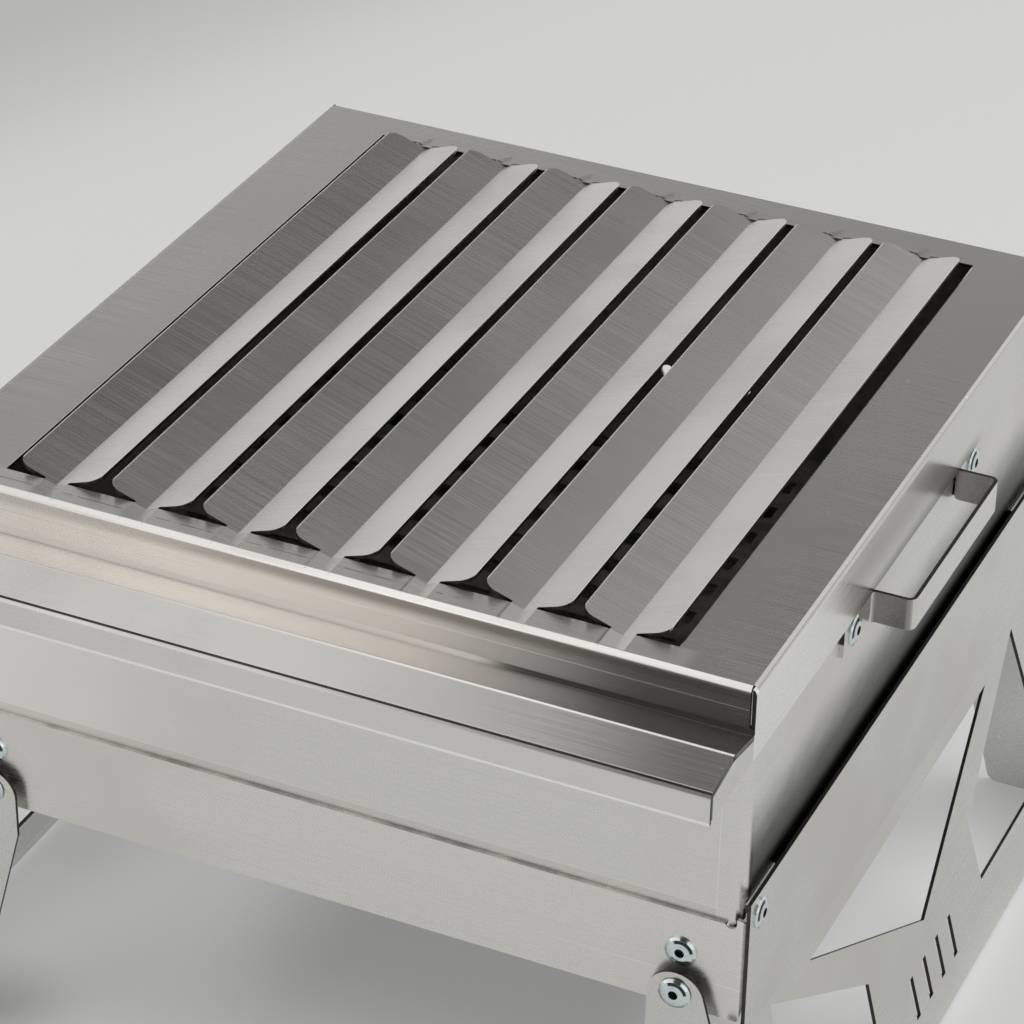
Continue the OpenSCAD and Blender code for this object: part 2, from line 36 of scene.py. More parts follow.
# Where things are on the part, in metres
BOX_MID = 0.0175        # the firebox's middle, front to rear
SLOT_PITCH = 0.0381     # between slots, and between creases
SLOT_HALF = 0.00225     # half a slot's width
SLOT_RIM = 0.0004       # width of the painted highlight beside a slot
WALL_Y = -0.1525        # the plate's front wall
BEND_Z = 0.2580         # a height in the bend above the front wall
GUTTER_Z = 0.2415       # the gutter at the front wall
RIDGE_Y, RIDGE_Z = -0.1715, 0.2450
RIDGE_UP, RIDGE_DOWN = 0.18421, 0.16667     # the gutter's slopes, from the wall up to the ridge and down to the lip
RIDGE_HALF = 0.0008     # half the width of the painted highlight on the ridge
SCRATCH_Z = (0.25080, 0.25100)
SHOULDER_X, GROOVE_X, SIDE_X = 0.16775, 0.16905, 0.16960    # lines along the bends at the plate's sides
HANDLE_FOOT = 0.0760    # from BOX_MID to a handle's foot
RIVET_HOLLOW = 0.0017   # within this distance of a rivet's axis its hollow is painted near-black, as shade
SHEET = 0.0015

STEEL = (0.735, 0.725, 0.70)
DARK = (0.05, 0.048, 0.043)
PALE = (0.98, 0.97, 0.95)
PAPER = (0.66, 0.665, 0.655)


# ---------------------------------------------------------------- node helpers
class Nodes:
    """A node tree with short calls. A value is a number, a tuple, a socket, or a node for its first output."""

    def __init__(self, tree):
        self.t = tree
        self.t.nodes.clear()

    def add(self, kind, attrs=None, **ins):
        """Adds a node. An input is given by its name, with _ for a space, or as _0, _1 and so on."""
        n = self.t.nodes.new(kind)
        for k, v in (attrs or {}).items():
            setattr(n, k, v)
        for k, v in ins.items():
            self.put(n, int(k[1:]) if k[0] == "_" and k[1:].isdigit() else k.replace("_", " "), v)
        return n

    def put(self, n, key, v):
        s = n.inputs[key]
        if isinstance(v, bpy.types.Node):
            v = v.outputs[0]
        if isinstance(v, bpy.types.NodeSocket):
            self.t.links.new(v, s)
        elif isinstance(v, tuple) and len(v) == 3 and s.type == "RGBA":
            s.default_value = v + (1,)
        else:
            s.default_value = v

    def math(self, op, *values):
        n = self.add("ShaderNodeMath", {"operation": op})
        for i, v in enumerate(values):
            self.put(n, i, v)
        return n.outputs[0]

    def chain(self, op, a, *more):
        for b in more:
            a = self.math(op, a, b)
        return a

    def plus(self, *values):
        return self.chain("ADD", *values)

    def minus(self, a, b):
        return self.math("SUBTRACT", a, b)

    def times(self, *values):
        return self.chain("MULTIPLY", *values)

    def most(self, *values):
        return self.chain("MAXIMUM", *values)

    def abs(self, v):
        return self.math("ABSOLUTE", v)

    def vector(self, x, y, z):
        return self.add("ShaderNodeCombineXYZ", X=x, Y=y, Z=z).outputs[0]

    def split(self, v):
        return self.add("ShaderNodeSeparateXYZ", Vector=v).outputs

    def vmath(self, op, a, **more):
        return self.add("ShaderNodeVectorMath", {"operation": op}, _0=a, **more).outputs

    def remap(self, v, a, b, c=0.0, d=1.0):
        """Goes smoothly from c to d while v goes from a to b."""
        return self.add("ShaderNodeMapRange", {"interpolation_type": "SMOOTHSTEP"},
                        Value=v, From_Min=a, From_Max=b, To_Min=c, To_Max=d).outputs[0]

    def band(self, v, lo, hi, soft=0.0003):
        """1 between lo and hi, with soft ends."""
        return self.times(self.remap(v, lo - soft, lo + soft), self.remap(v, hi - soft, hi + soft, 1.0, 0.0))

    def blend(self, kind, sockets, f, a, b):
        n = self.add("ShaderNodeMix", {"data_type": kind})
        for key, v in zip((0,) + sockets, (f, a, b)):
            self.put(n, key, v)
        return n.outputs

    def mix(self, f, a, b):
        """Mixes the colour b into the colour a by the share f."""
        return self.blend("RGBA", (6, 7), f, a, b)[2]

    def turn(self, f, a, b):
        """Turns the direction a towards b by the share f."""
        return self.blend("VECTOR", (4, 5), f, a, b)[1]


class Surface(Nodes):
    """A material. x, y and z are the place on the object, in metres."""

    def __init__(self, name):
        self.mat = bpy.data.materials.new(name)
        self.mat.use_nodes = True
        super().__init__(self.mat.node_tree)
        self.bsdf = self.add("ShaderNodeBsdfPrincipled")
        self.out = self.add("ShaderNodeOutputMaterial", Surface=self.bsdf)
        self.obj = self.add("ShaderNodeTexCoord").outputs["Object"]
        self.x, self.y, self.z = self.split(self.obj)

    def normal(self, kind="Normal"):
        return self.add("ShaderNodeNewGeometry").outputs[kind]

    def noise(self, scale, detail=3.0, rough=0.5, off=(0, 0, 0)):
        """Noise of a scale per metre on each axis."""
        m = self.add("ShaderNodeMapping", Vector=self.obj, Scale=scale, Location=off)
        return self.add("ShaderNodeTexNoise", Vector=m, Scale=1.0, Detail=detail, Roughness=rough).outputs[0]

    def bump(self, height, strength, distance, normal=None):
        n = self.add("ShaderNodeBump", Height=height, Strength=strength, Distance=distance)
        if normal is not None:
            self.put(n, "Normal", normal)
        return n.outputs[0]

    def grain_along(self, along, amount):
        """Lengthens highlights across the brushing: along an axis, or for None level, round the walls."""
        v = self.vmath("CROSS_PRODUCT", (0.0, 0.0, 1.0), _1=self.normal())[0] if along is None else self.vector(*along)
        self.put(self.bsdf, "Tangent", v)
        self.put(self.bsdf, "Anisotropic", amount)
        self.put(self.bsdf, "Anisotropic Rotation", 0.25)

    def metal(self, color, rough, metallic=1.0, normal=None):
        self.put(self.bsdf, "Base Color", color)
        self.put(self.bsdf, "Roughness", rough)
        self.put(self.bsdf, "Metallic", metallic)
        if normal is not None:
            self.put(self.bsdf, "Normal", normal)
        return self.mat


# ---------------------------------------------------------------- finishes
def brushed(name, tint, grain, along=None, rough=0.27, streak=0.07, gloss=0.6, marks=None, lean=None, wrap=None):
    """Brushed stainless sheet. grain is the noise scale per metre on x, y and z, low along the brushing."""
    g = Surface(name)
    if wrap:
        g.obj = wrap(g)
    fine = g.noise(grain, detail=2.0)
    wide = g.noise(tuple(s * 0.18 for s in grain), off=(3, 7, 1))
    cloud = g.noise((9, 9, 9), rough=0.6, off=(5, 2, 8))
    g.grain_along(along, gloss)
    lo = tuple(c * (1 - streak) for c in tint)
    hi = tuple(min(1.0, c * (1 + streak)) for c in tint)
    col = g.mix(g.remap(fine, 0.34, 0.66), lo, hi)
    smudge = tuple(c * k for c, k in zip(tint, (0.90, 0.8865, 0.864)))
    col = g.mix(g.remap(cloud, 0.45, 0.72, 0.0, 0.65), col, smudge)
    col = g.mix(g.remap(wide, 0.70, 0.74, 0.0, 0.5), col, tuple(min(1.0, c * 1.18) for c in tint))
    if marks:
        col = marks(g, col)
    r = g.plus(g.remap(fine, 0.3, 0.7, rough - 0.025, rough + 0.025), g.remap(cloud, 0.4, 0.75, 0.0, 0.05))
    return g.metal(col, r, 1.0, g.bump(fine, 0.08, 0.00004, lean(g) if lean else None))


def cut_edge(name, tint):
    """The dark, striated edge that a cut leaves on a sheet."""
    g = Surface(name)
    lines = g.noise((1400, 1400, 260), detail=2.0)
    heat = g.noise((60, 60, 60), detail=2.0, off=(2, 2, 2))
    col = g.mix(g.remap(lines, 0.35, 0.65), tuple(c * 0.6 for c in tint), tint)
    col = g.mix(g.remap(heat, 0.5, 0.75, 0.0, 0.6), col, (tint[0] * 1.3, tint[1] * 1.05, tint[2] * 0.8))
    return g.metal(col, g.remap(lines, 0.3, 0.7, 0.42, 0.62), 1.0, g.bump(lines, 0.5, 0.0001))


def zinc(name, tint, rough, axis, lit):
    """Bright zinc on a pressed rivet head: a flat face, a steep shoulder near the rim, a painted dark arc that stands
    for a reflection, and grime.

    axis is the rivet's own, and lit how far the painted dark arc sits to one side and towards the top."""
    g = Surface(name)
    nrm = g.normal()
    comp = list(g.split(nrm))
    off = g.vector(*(0.0 if k == axis else comp[k] for k in range(3)))
    slope = g.vmath("LENGTH", off)["Value"]
    gain = g.plus(g.remap(slope, 0.23, 0.26, -0.8, 0.0), g.remap(slope, 0.345, 0.36, 0.0, 1.4))
    push = g.vmath("SCALE", off, Scale=gain)[0]
    pressed = g.vmath("NORMALIZE", g.vmath("ADD", nrm, _1=push)[0])[0]
    grime = g.noise((260, 260, 260), detail=4.0, rough=0.65)
    specks = g.noise((1500, 1500, 1500), detail=1.0, off=(4, 4, 4))
    col = g.mix(g.remap(grime, 0.5, 0.8, 0.0, 0.7), tint, tuple(c * 0.62 for c in tint))
    col = g.mix(g.remap(specks, 0.62, 0.7, 0.0, 0.35), col, (0.2, 0.2, 0.19))
    aside, high = lit
    upward = g.plus(g.times(comp[2], high), g.times(comp[1 - axis], aside))
    upward = g.math("DIVIDE", upward, g.most(slope, 0.01))
    # painted reflection: a dark arc on the head's shoulder, on the side set by lit
    dark_reflection = g.times(g.band(slope, 0.262, 0.345, 0.008), g.remap(upward, 0.45, 0.62, 0.0, 0.97))
    col = g.mix(dark_reflection, col, (0.025, 0.03, 0.028))
    r = g.plus(g.remap(grime, 0.4, 0.8, rough - 0.04, rough + 0.14), g.remap(specks, 0.5, 0.7, 0.0, 0.08))
    return g.metal(col, r, 1.0, g.bump(grime, 0.2, 0.00008, pressed))


def filmed(name, tint, rough=0.5, metallic=0.9):
    """Sheet with a thin uneven film on it."""
    g = Surface(name)
    film = g.noise((45, 45, 45), detail=5.0, rough=0.65)
    grain = g.noise((900, 900, 900), detail=2.0, off=(1, 1, 6))
    col = g.mix(g.remap(film, 0.35, 0.7), tint, tuple(c * 0.45 for c in tint))
    r = g.plus(g.remap(film, 0.3, 0.7, rough - 0.08, rough + 0.15), g.remap(grain, 0.3, 0.7, -0.03, 0.03))
    return g.metal(col, r, metallic, g.bump(grain, 0.3, 0.00008))


# ---------------------------------------------------------------- places on the part
def flat_normal(g):
    """The x, y and z of the surface normal, in the object's own axes."""
    return g.split(g.normal("True Normal"))


def from_slot(g):
    """The distance in x from the nearest slot's middle, with its sign."""
    return g.math("WRAP", g.plus(g.x, SLOT_PITCH / 2), SLOT_PITCH / 2, -SLOT_PITCH / 2)


def slot_rim_highlights(g):
    """Thin painted highlights on the strips beside the slots: on the slots' right, and on their left."""
    u, far = from_slot(g), SLOT_HALF + SLOT_RIM
    field = g.times(g.band(g.y, -0.1370, 0.1715), g.band(g.abs(g.x), -1.0, 0.1375, 0.0002))
    return (g.times(g.band(u, SLOT_HALF, far, 0.00008), field),
            g.times(g.band(u, -far, -SLOT_HALF, 0.00008), field))


def front_wall(g):
    """The plate's front wall, the gutter and the lip."""
    return g.remap(g.y, WALL_Y + 0.0005, WALL_Y + 0.0002)


def wall_scratch_highlight(g):
    """The long scratch on the right of the front wall, painted light as its highlight."""
    return g.times(front_wall(g), g.band(g.z, *SCRATCH_Z, 0.00008), g.remap(g.x, -0.02, 0.03))


def wall_foot(g):
    """The bend between the front wall and the gutter."""
    return g.times(g.band(g.y, WALL_Y - 0.0014, WALL_Y + 0.0001, 0.0001),
                   g.band(g.z, GUTTER_Z - 0.0005, GUTTER_Z + 0.0016, 0.0002))


def ridge(g):
    """The narrow top of the gutter's ridge."""
    return g.times(g.band(g.y, RIDGE_Y - RIDGE_HALF, RIDGE_Y + RIDGE_HALF, 0.0004),
                   g.remap(g.z, RIDGE_Z - 0.0050, RIDGE_Z - 0.0045))


def plate_wrap(g):
    """Noise coordinates that run along the plate's top and down its walls without a jump."""
    x, y, z = g.x, g.y, g.z
    down = g.times(z, g.math("LESS_THAN", y, WALL_Y + 0.0004))
    side = g.math("GREATER_THAN", g.abs(x), SIDE_X)
    across = g.plus(g.times(g.minus(y, down), g.minus(1.0, side)), g.times(z, side))
    return g.vector(g.plus(x, g.times(y, side)), across, 0.0)


def plate_lean(g):
    """Finer forms of the sheet, as normals: tipped margins before the slots, rims, bends, the ridge, a scratch."""
    n = g.normal()
    x, y, z = g.x, g.y, g.z
    ax, way = g.abs(x), g.math("SIGN", x)
    margin = g.times(g.band(y, -0.1500, -0.1395, 0.0002), g.band(ax, -1.0, 0.1420, 0.0040),
                     g.remap(z, BEND_Z - 0.0010, BEND_Z))
    tip = g.times(margin, g.remap(from_slot(g), 0.0122, 0.0142, -0.085, 0.075))
    tip = g.minus(tip, g.times(slot_rim_highlights(g)[0], 0.62))
    tip = g.vector(tip, 0.0, g.times(wall_scratch_highlight(g), 0.9))
    on_top = g.remap(z, BEND_Z - 0.0004, BEND_Z - 0.0002)
    shoulder = g.times(g.band(ax, SHOULDER_X, GROOVE_X, 0.0001), on_top)
    groove = g.times(g.band(ax, GROOVE_X, SIDE_X, 0.0001), on_top)
    fold = g.times(g.remap(y, -0.15025, -0.15045), g.remap(z, BEND_Z, BEND_Z + 0.0003),
                   g.remap(y, -0.1530, -0.1527))
    rear = g.times(g.remap(y, 0.1726, 0.1730), g.remap(z, 0.2560, 0.2565))
    crest_highlight = g.times(ridge(g), g.remap(x, -0.10, 0.10, 0.55, 0.95))
    for mask, to in ((shoulder, g.vector(g.times(way, 0.8), 0.0, 0.6)),
                     (groove, g.vector(g.times(way, 0.4), 0.0, 0.92)),
                     (fold, (0.0, -0.40, 0.92)),
                     (rear, (0.0, 0.0, 1.0)),
                     (wall_foot(g), g.vector(g.remap(x, 0.04, 0.11, -0.10, 0.14), -0.87, 0.45)),
                     (crest_highlight, (0.0, -0.38, 0.925))):
        n = g.turn(mask, n, to)
    return g.vmath("NORMALIZE", g.vmath("ADD", n, _1=tip)[0])[0]


# ---------------------------------------------------------------- marks
def handle_marks(g, col):
    """The forward faces between a handle's feet are painted darker as shade, and the upper part of a foot's end is
    dark.
    """
    n = flat_normal(g)
    foot = g.remap(g.abs(g.minus(g.y, BOX_MID)), HANDLE_FOOT, HANDLE_FOOT + 0.0005)
    end = g.times(foot, g.remap(g.abs(n[1]), 0.85, 0.9))
    # painted shade: faces turned forward are darker
    front_shade = g.times(g.remap(n[1], -0.6, -0.9, 0.0, 0.75), g.minus(1.0, foot))
    col = g.mix(front_shade, col, (0.19, 0.18, 0.165))
    return g.mix(g.times(end, g.remap(g.z, 0.2215, 0.2225)), col, (0.05, 0.05, 0.045))


def box_marks(g, col):
    """Painted shade low on the side walls, a painted lighter left end and thin lines on the front wall; at the apron's
    top a painted light line above a darker band of painted shade.
    """
    x, z = g.x, g.z
    ax = g.abs(x)
    cloud = g.noise((30, 30, 60), off=(9, 1, 3))
    # painted shade: the side walls go nearly black towards the bottom, standing for the dark gap beside the leg frames
    gap_shade = g.remap(g.plus(z, g.times(cloud, 0.012)), 0.182, 0.216, 1.0, 0.0)
    col = g.mix(g.times(g.remap(ax, 0.1668, 0.1674), gap_shade), col, (0.022, 0.022, 0.020))
    front = g.remap(g.y, -0.1455, -0.1450, 1.0, 0.0)
    # painted light: the front wall lighter towards its left end
    col = g.mix(g.times(front, g.remap(x, -0.15, -0.02, 0.75, 0.0)), col, (0.90, 0.89, 0.86))
    upright = g.times(front, g.band(ax, 0.15680, 0.15705, 0.0001))
    col = g.mix(g.times(upright, 0.6), col, (0.95, 0.94, 0.92))
    inside = g.times(front, g.band(ax, -1.0, 0.1569, 0.0001))
    # painted shade: a darker band low on the front wall, behind the apron
    col = g.mix(g.times(inside, g.band(z, 0.10, 0.1574), 0.5), col, (0.62, 0.60, 0.56))
    # painted highlight: a light line on the front wall at the apron's top
    return g.mix(g.times(inside, g.band(z, 0.15740, 0.15765, 0.0001), 0.6), col, (0.92, 0.90, 0.86))


def gutter_end(g, on_end):
    """The dark rim of the sheet at the gutter's two ends, and a grey line in it."""
    y = g.y
    inner = g.plus(g.times(y, -RIDGE_UP), GUTTER_Z + WALL_Y * RIDGE_UP)
    outer = g.plus(g.times(y, RIDGE_DOWN), RIDGE_Z - RIDGE_Y * RIDGE_DOWN)
    top = g.minus(g.z, g.math("MINIMUM", inner, outer))
    rim = g.most(g.remap(top, -0.0025, -0.0024), g.remap(y, -0.19000, -0.19010))
    end = g.times(on_end, g.remap(y, WALL_Y - 0.0004, WALL_Y - 0.0006))
    return g.times(end, rim), g.times(end, g.band(top, -0.0014, -0.0006), 0.5)


def plate_marks(g, col):
    """Dark and light lines along the edges and bends, scratches, and the tones along the wall and the gutter. Many are
    painted: highlights on the slot rims, the ridge, the lip's foot and the scratch, light on the gutter's left and the
    side flanges' front, and shade along the wall, the gutter and the side flanges' lower edge.
    """
    x, y, z = g.x, g.y, g.z
    ax = g.abs(x)
    on_end = g.remap(g.abs(flat_normal(g)[0]), 0.90, 0.95)
    not_end = g.minus(1.0, on_end)
    wall = front_wall(g)
    lip_corner = g.times(g.band(y, -0.1916, -0.1907, 0.0001), g.band(z, 0.2395, 0.2440, 0.0002))
    rim, grey = gutter_end(g, on_end)
    break_up = g.minus(g.noise((190, 20, 20), detail=2.0, off=(2, 0, 0)), g.remap(x, -0.10, 0.05, 0.10, 0.0))
    cuts = g.times(g.band(g.abs(from_slot(g)), -1.0, 0.0125, 0.0008), g.band(y, -0.14535, -0.14505, 0.0001),
                   g.remap(break_up, 0.50, 0.54, 1.0, 0.0), g.remap(x, 0.050, 0.056, 1.0, 0.0), 0.9)
    dashes = g.times(wall, g.band(z, *SCRATCH_Z, 0.00008), g.remap(x, -0.03, 0.0, 1.0, 0.0),
                     g.remap(break_up, 0.46, 0.52, 0.65, 0.0))
    # painted shade: patchy dark on the wall under the bend's highlight
    patchy_noise = g.noise((90, 700, 700), detail=2.0, off=(7, 3, 5))
    patchy_shade = g.times(wall, g.band(z, 0.2520, 0.2568, 0.0008), g.remap(patchy_noise, 0.60, 0.72, 0.0, 0.55))

    gutter = g.times(g.band(y, -0.1903, WALL_Y + 0.0002, 0.0002), not_end)
    outside = g.remap(y, RIDGE_Y + 0.0005, RIDGE_Y - 0.0005)
    # painted reflection: the wall and the gutter's inner slope lighter on the left
    left_reflection = g.times(gutter, g.minus(1.0, outside), g.remap(x, 0.03, 0.10, 0.85, 0.0),
                   g.remap(x, -0.16, -0.06, 0.45, 1.0))
    along = g.plus(g.minus(x, g.times(outside, 0.026)),
                   g.times(g.noise((25, 40, 60), detail=2.0, off=(6, 6, 1)), 0.02))
    # painted shade: the wall and the gutter darker towards the right
    right_shade = g.times(gutter, g.remap(along, 0.084, 0.146, 0.0, 0.97))
    # painted shade: a dark band on the wall under the bend's highlight
    upper = g.times(wall, g.remap(z, 0.2515, 0.2562), g.remap(z, BEND_Z - 0.0002, BEND_Z + 0.0002, 1.0, 0.0),
                    g.remap(x, -0.12, 0.04, 0.35, 0.75))
    # painted highlight: a light line along the ridge's top
    crest_highlight = g.times(ridge(g), not_end, g.remap(x, -0.02, 0.10, 0.55, 0.85))
    # painted light: the side flanges lighter towards the front
    flank_light = g.times(on_end, g.remap(y, -0.03, -0.11, 0.0, 0.8),
                    g.remap(y, WALL_Y - 0.0004, WALL_Y - 0.0006, 1.0, 0.0))
    # painted highlight: a light line along the lip's lowest edge
    lip_foot_highlight = g.times(g.remap(y, -0.1915, -0.1920), g.remap(z, 0.2298, 0.2303, 0.9, 0.0))
    speck = g.noise((330, 260, 0), detail=1.0, off=(3, 8, 0))
    specks = g.times(g.remap(z, 0.2590, 0.2595), g.remap(ax, 0.1370, 0.1390), g.remap(speck, 0.765, 0.79, 0.0, 0.7))
    # painted shade: the side flanges darker just above their lower edge
    flange_shade = g.times(on_end, g.band(y, -0.05, 0.085, 0.01), g.remap(z, 0.2303, 0.2375, 0.75, 0.0))

    # painted shade: the wall's foot, the bend into the gutter, is darkened in this list
    for mask, tone in ((lip_corner, DARK), (rim, DARK), (grey, (0.20, 0.20, 0.19)), (cuts, DARK), (dashes, DARK),
                       (patchy_shade, (0.30, 0.27, 0.23)), (left_reflection, (0.94, 0.905, 0.86)),
                       (g.times(wall_foot(g), 0.9), (0.50, 0.48, 0.45)), (right_shade, (0.40, 0.395, 0.375)),
                       (upper, (0.24, 0.22, 0.19)), (wall_scratch_highlight(g), (0.90, 0.89, 0.87)),
                       (crest_highlight, (0.72, 0.71, 0.69)), (flank_light, (0.96, 0.95, 0.93)), (lip_foot_highlight, PALE),
                       (g.most(*slot_rim_highlights(g)), PALE), (specks, PALE), (flange_shade, (0.16, 0.155, 0.14))):
        col = g.mix(mask, col, tone)
    return col


mats = {
    "plate": brushed("plate_steel", STEEL, (14, 1800, 1800), (1.0, 0.0, 0.0), rough=0.24, streak=0.015, gloss=0.75,
                     marks=plate_marks, lean=plate_lean, wrap=plate_wrap),
    "box": brushed("firebox_steel", STEEL, (8, 8, 1500), streak=0.02, gloss=0.4, marks=box_marks),
    "apron": brushed("apron_steel", (0.765, 0.75, 0.725), (8, 8, 1500), streak=0.02, gloss=0.4),
    "handle": brushed("handle_steel", STEEL, (1800, 14, 1800), (0.0, 1.0, 0.0), streak=0.03, marks=handle_marks),
    "frame": brushed("frame_steel", (0.70, 0.695, 0.67), (1300, 10, 1300), (0.0, 1.0, 0.0), streak=0.03),
    "edge": cut_edge("cut_edge", (0.085, 0.082, 0.075)),
    "zinc": zinc("rivet_zinc", (0.70, 0.79, 0.80), 0.13, 1, (0.40, 0.9)),
    "zinc_side": zinc("rivet_zinc_side", (0.70, 0.79, 0.80), 0.13, 0, (-0.7, 0.7)),
    # painted highlight: a pale matt finish for the aprons' top edges
    "edge_light": filmed("apron_top_highlight", (0.95, 0.93, 0.89), 0.5, 0.0),
    "inside": filmed("inside_steel", (0.46, 0.45, 0.40), 0.55, 0.3),
    "hole": filmed("rivet_hollow_shade", (0.02, 0.02, 0.02), 0.6),
    "grate": filmed("grate_steel", (0.34, 0.33, 0.29), 0.55, 0.3),
    "spacer": filmed("spacer_steel", (0.16, 0.155, 0.15), 0.4),
}


# ---------------------------------------------------------------- finishes on the pieces
def paint(node, *keys):
    """Gives a piece its finishes, and the first of them to every face."""
    slots = N[node].data.materials
    slots.clear()
    for key in keys:
        slots.append(mats[key])
    repaint(node, 0, lambda p: True)


def repaint(node, slot, chosen):
    """Gives one of a piece's finishes to the faces that chosen says yes to."""
    for p in N[node].data.polygons:
        if chosen(p):
            p.material_index = slot


def is_cut(node, p):
    """Whether there is more than the sheet's thickness behind a face, as at a cut edge."""
    hit, at, _, _ = N[node].ray_cast(p.center - p.normal * 1e-5, -p.normal)
    return hit and (at - p.center).length > SHEET * 1.25


def is_inside(p):
    """Whether a face of the firebox looks inwards, or is its floor's upper side."""
    inwards = p.normal.x * p.center.x + p.normal.y * (p.center.y - BOX_MID) < -1e-3
    return inwards or (p.normal.z > 0.9 and p.center.z < 0.13)


# The first finish is the sheet's, the second its cut edges'. Some pieces keep the sheet's on what faces up.
for node, keeps_top, *finishes in (
        ("grill_plate", True, "plate", "edge"), ("firebox_shell", True, "box", "edge", "inside"),
        ("front_apron", True, "apron", "edge", "edge_light"), ("rear_apron", True, "apron", "edge", "edge_light"),
        ("grate_rest_front", False, "box", "edge"), ("grate_rest_rear", False, "box", "edge"),
        ("leg_frame_left", False, "frame", "edge"), ("leg_frame_right", False, "frame", "edge"),
        ("handle_left", False, "handle", "edge"), ("handle_right", False, "handle", "edge")):
    paint(node, *finishes)
    repaint(node, 1, lambda p: is_cut(node, p) and not (keeps_top and p.normal.z > 0.6))
for node in ("handle_left", "handle_right"):
    repaint(node, 0, lambda p: abs(p.normal.y) > 0.9 and abs(p.center.y - BOX_MID) > HANDLE_FOOT)
# painted highlight: the aprons' top edges get the pale matt finish
for node in ("front_apron", "rear_apron"):
    repaint(node, 2, lambda p: p.normal.z > 0.9)
repaint("firebox_shell", 2, is_inside)
paint("charcoal_grate", "grate")
for c in CORNERS:
    for k, finish, axis in (("apron_rivet_", "zinc", 1), ("pivot_rivet_", "zinc", 1),
                            ("stop_rivet_", "zinc_side", 0), ("handle_rivet_", "zinc_side", 0)):
        paint(k + c, finish, "hole")
        lo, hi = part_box(k + c)
        for p in N[k + c].data.polygons:
            out = p.center - (lo + hi) / 2
            out[axis] = 0.0
            # painted shade: faces in a rivet's hollow get the near-black finish
            if out.length < RIVET_HOLLOW:
                p.material_index = 1
    paint("pivot_spacer_" + c, "spacer")


# ---------------------------------------------------------------- floor, light and camera
def floor():
    """Pale paper with shadows and a light patch painted by place. It glows a little for the camera and for mirrors."""
    s = 9.0
    me = bpy.data.meshes.new("floor")
    me.from_pydata([(-s, -s, 0), (s, -s, 0), (s, s, 0), (-s, s, 0)], [], [(0, 1, 2, 3)])
    o = bpy.data.objects.new("floor", me)
    bpy.context.scene.collection.objects.link(o)
    g = Surface("floor_paper")
    x, y = g.x, g.y
    soft = g.noise((0.6, 0.6, 0.6), detail=2.0)
    # painted shade: the paper darker towards the far left
    far = g.remap(g.minus(g.times(y, 0.4), x), 0.66, 0.95, 0.0, 0.27)
    under = g.times(g.band(x, -0.075, 0.10, 0.035), g.band(y, -0.10, 0.22, 0.05), 0.32)
    beside = g.times(g.band(x, 0.125, 0.20, 0.025), g.band(y, 0.0, 0.13, 0.04), 0.30)
    dx, dy = g.plus(x, 0.160), g.plus(y, 0.150)
    corner = g.remap(g.math("SQRT", g.plus(g.times(dx, dx), g.times(dy, dy))), 0.0, 0.05, 0.33, 0.0)
    shade = g.plus(g.minus(1.0, g.plus(under, far, corner)), beside)
    col = g.mix(g.remap(soft, 0.3, 0.7), PAPER, (0.70, 0.705, 0.695))
    g.metal(g.vmath("SCALE", col, Scale=shade)[0], 0.9, 0.0)
    glow = g.add("ShaderNodeEmission", Color=g.vmath("SCALE", PAPER, Scale=shade)[0], Strength=1.0)
    path = g.add("ShaderNodeLightPath").outputs
    seen = g.times(g.most(path["Is Camera Ray"], path["Is Glossy Ray"]), 0.40)
    g.put(g.out, "Surface", g.add("ShaderNodeMixShader", _0=seen, _1=g.bsdf, _2=glow))
    me.materials.append(g.mat)


def ramp(g, v, stops):
    """A grey level by the value v."""
    n = g.add("ShaderNodeValToRGB", _0=v)
    marks = n.color_ramp.elements
    while len(marks) < len(stops):
        marks.new(0.5)
    for mark, (at, level) in zip(marks, stops):
        mark.position = at
        mark.color = (level, level, level, 1)
    return n.outputs[0]


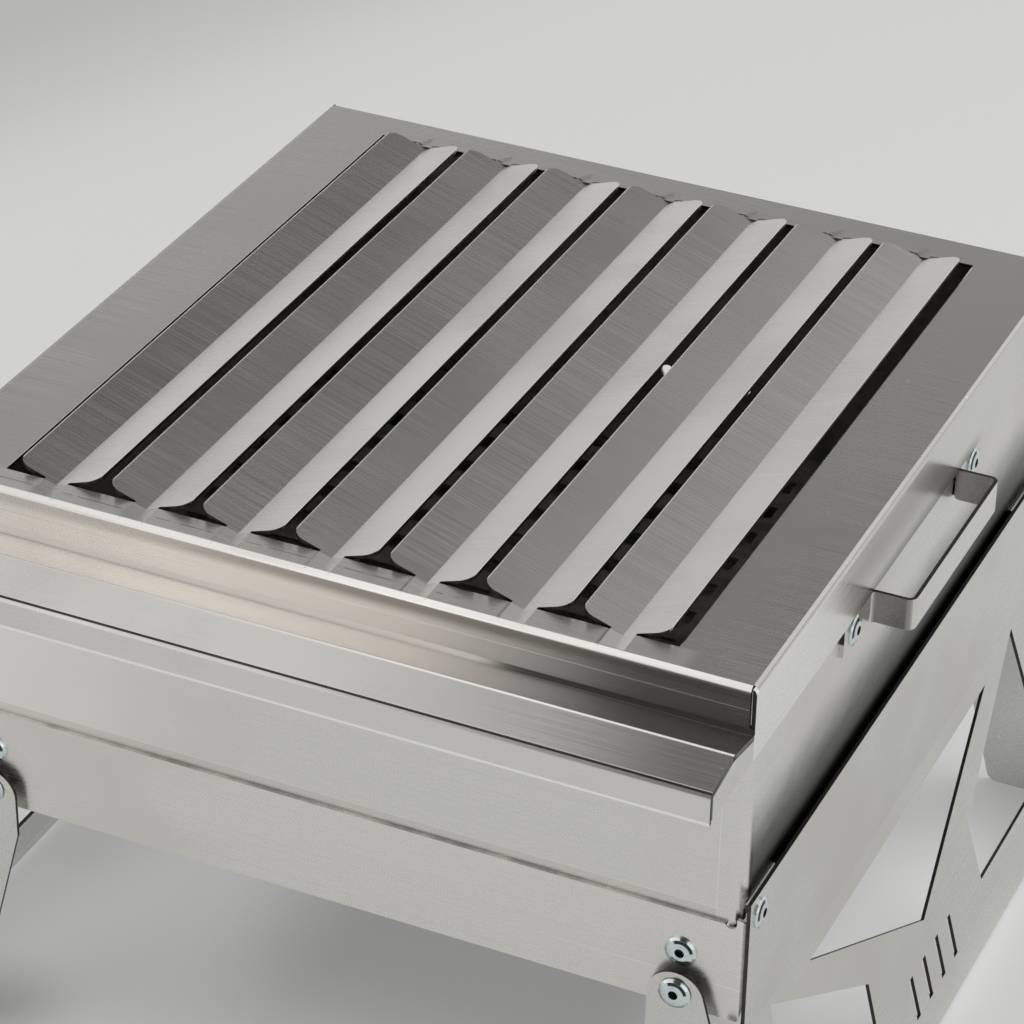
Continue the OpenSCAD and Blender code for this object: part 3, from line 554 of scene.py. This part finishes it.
def world():
    """Light by direction, x to the right and y to the rear, which is what the metal mirrors. The camera sees grey."""
    w = bpy.data.worlds.new("studio")
    bpy.context.scene.world = w
    w.use_nodes = True
    g = Nodes(w.node_tree)
    x, y, z = g.split(g.add("ShaderNodeTexCoord").outputs["Generated"])

    back = ramp(g, z, ((0.0, 0.82), (0.34, 0.72), (0.41, 0.36), (0.45, 0.25), (0.51, 0.16), (0.56, 0.10),
                       (0.70, 0.085), (1.0, 0.3)))
    gain = g.times(g.remap(x, -0.06, 0.20, 0.6, 4.2), g.remap(x, -0.15, -0.06, 1.67, 1.0),
                   g.remap(x, -0.46, -0.36, 1.35, 1.0))
    back = g.times(back, g.plus(g.times(g.minus(gain, 1.0), g.remap(z, 0.38, 0.46)), 1.0))
    panel = g.times(g.remap(x, -0.39, -0.29, 1.0, 0.0), g.remap(z, 0.62, 0.72), 0.9)
    back = g.most(back, panel)

    front = g.times(ramp(g, z, ((0.0, 0.85), (0.25, 0.95), (0.55, 0.75), (1.0, 0.75))), 1.15)
    lit = g.most(g.remap(g.abs(x), 0.315, 0.385), g.remap(z, 0.93, 0.98), g.remap(z, -0.02, 0.08, 1.0, 0.0))
    front = g.times(front, g.remap(lit, 0.0, 1.0, 0.06, 1.0))
    is_front = g.remap(y, -0.35, 0.15, 1.0, 0.0)
    level = g.plus(g.times(front, is_front), g.times(back, g.minus(1.0, is_front)))

    strip_light = g.times(g.remap(z, 0.84, 0.90, 0.0, 1.4), g.remap(y, 0.28, 0.36, 1.0, 0.0),
                          g.remap(x, 0.0, 0.35, 1.0, 0.3), g.remap(y, -0.15, -0.02))
    left_light = g.times(g.remap(z, 0.66, 0.73, 0.0, 0.80), g.remap(y, 0.62, 0.72, 1.0, 0.0),
                         g.remap(x, -0.43, -0.33, 1.0, 0.0), g.remap(y, 0.2, 0.4))
    light = g.add("ShaderNodeBackground", Color=(1.0, 0.99, 0.97), Strength=g.most(level, strip_light, left_light))
    plain = g.add("ShaderNodeBackground", Color=(0.68, 0.685, 0.675), Strength=1.0)
    seen = g.add("ShaderNodeLightPath").outputs["Is Camera Ray"]
    g.add("ShaderNodeOutputWorld", Surface=g.add("ShaderNodeMixShader", _0=seen, _1=light, _2=plain))


def lamp(name, place, target, size, watts):
    """A soft lamp that no metal mirrors."""
    d = bpy.data.lights.new(name, "AREA")
    d.shape = "RECTANGLE"
    d.size, d.size_y = size
    d.energy = watts
    o = bpy.data.objects.new(name, d)
    o.location = place
    o.rotation_mode = "QUATERNION"
    o.rotation_quaternion = (Vector(target) - Vector(place)).to_track_quat("-Z", "Y")
    o.visible_glossy = False
    bpy.context.scene.collection.objects.link(o)


floor()
world()
lamp("overhead", (0.7, 0.5, 1.9), (0, 0, 0.1), (2.0, 2.0), 17)
lamp("left_fill", (-1.6, -1.1, 1.0), (0, 0, 0.05), (1.4, 1.0), 8)

# The photo's camera, solved from the sheet's straight edges: angles, focal length and middle in pixels, and distance
# to the plate's front right corner, which the photo shows at CORNER_PIXEL
YAW, PITCH, ROLL = (math.radians(a) for a in (23.608, 31.710, 1.3437))
PIXELS, SENSOR = 1024, 36
F, CX, CY, DIST = 3790.86, 555.44, 506.73, 1.298
CORNER, CORNER_PIXEL = Vector((0.170, WALL_Y, 0.260)), (757.5, 690.5)

ahead = Vector((-math.sin(YAW) * math.cos(PITCH), math.cos(YAW) * math.cos(PITCH), -math.sin(PITCH)))
level_right = Vector((math.cos(YAW), math.sin(YAW), 0))
right = level_right * math.cos(ROLL) + level_right.cross(ahead) * math.sin(ROLL)
up = right.cross(ahead)
px, py = CORNER_PIXEL
to_corner = (ahead + right * ((px - CX) / F) - up * ((py - CY) / F)).normalized()

cam = bpy.data.cameras.new("camera")
cam_o = bpy.data.objects.new("camera", cam)
bpy.context.scene.collection.objects.link(cam_o)
cam.sensor_width = SENSOR
cam.lens = F * SENSOR / PIXELS
cam.shift_x = (PIXELS / 2 - CX) / PIXELS
cam.shift_y = (CY - PIXELS / 2) / PIXELS
cam.clip_start, cam.clip_end = 0.05, 60
facing = Matrix((right, up, -ahead)).transposed().to_4x4()
cam_o.matrix_world = Matrix.Translation(CORNER - to_corner * DIST) @ facing
bpy.context.scene.camera = cam_o
bpy.context.scene.view_settings.view_transform = "Standard"

bpy.context.view_layer.update()
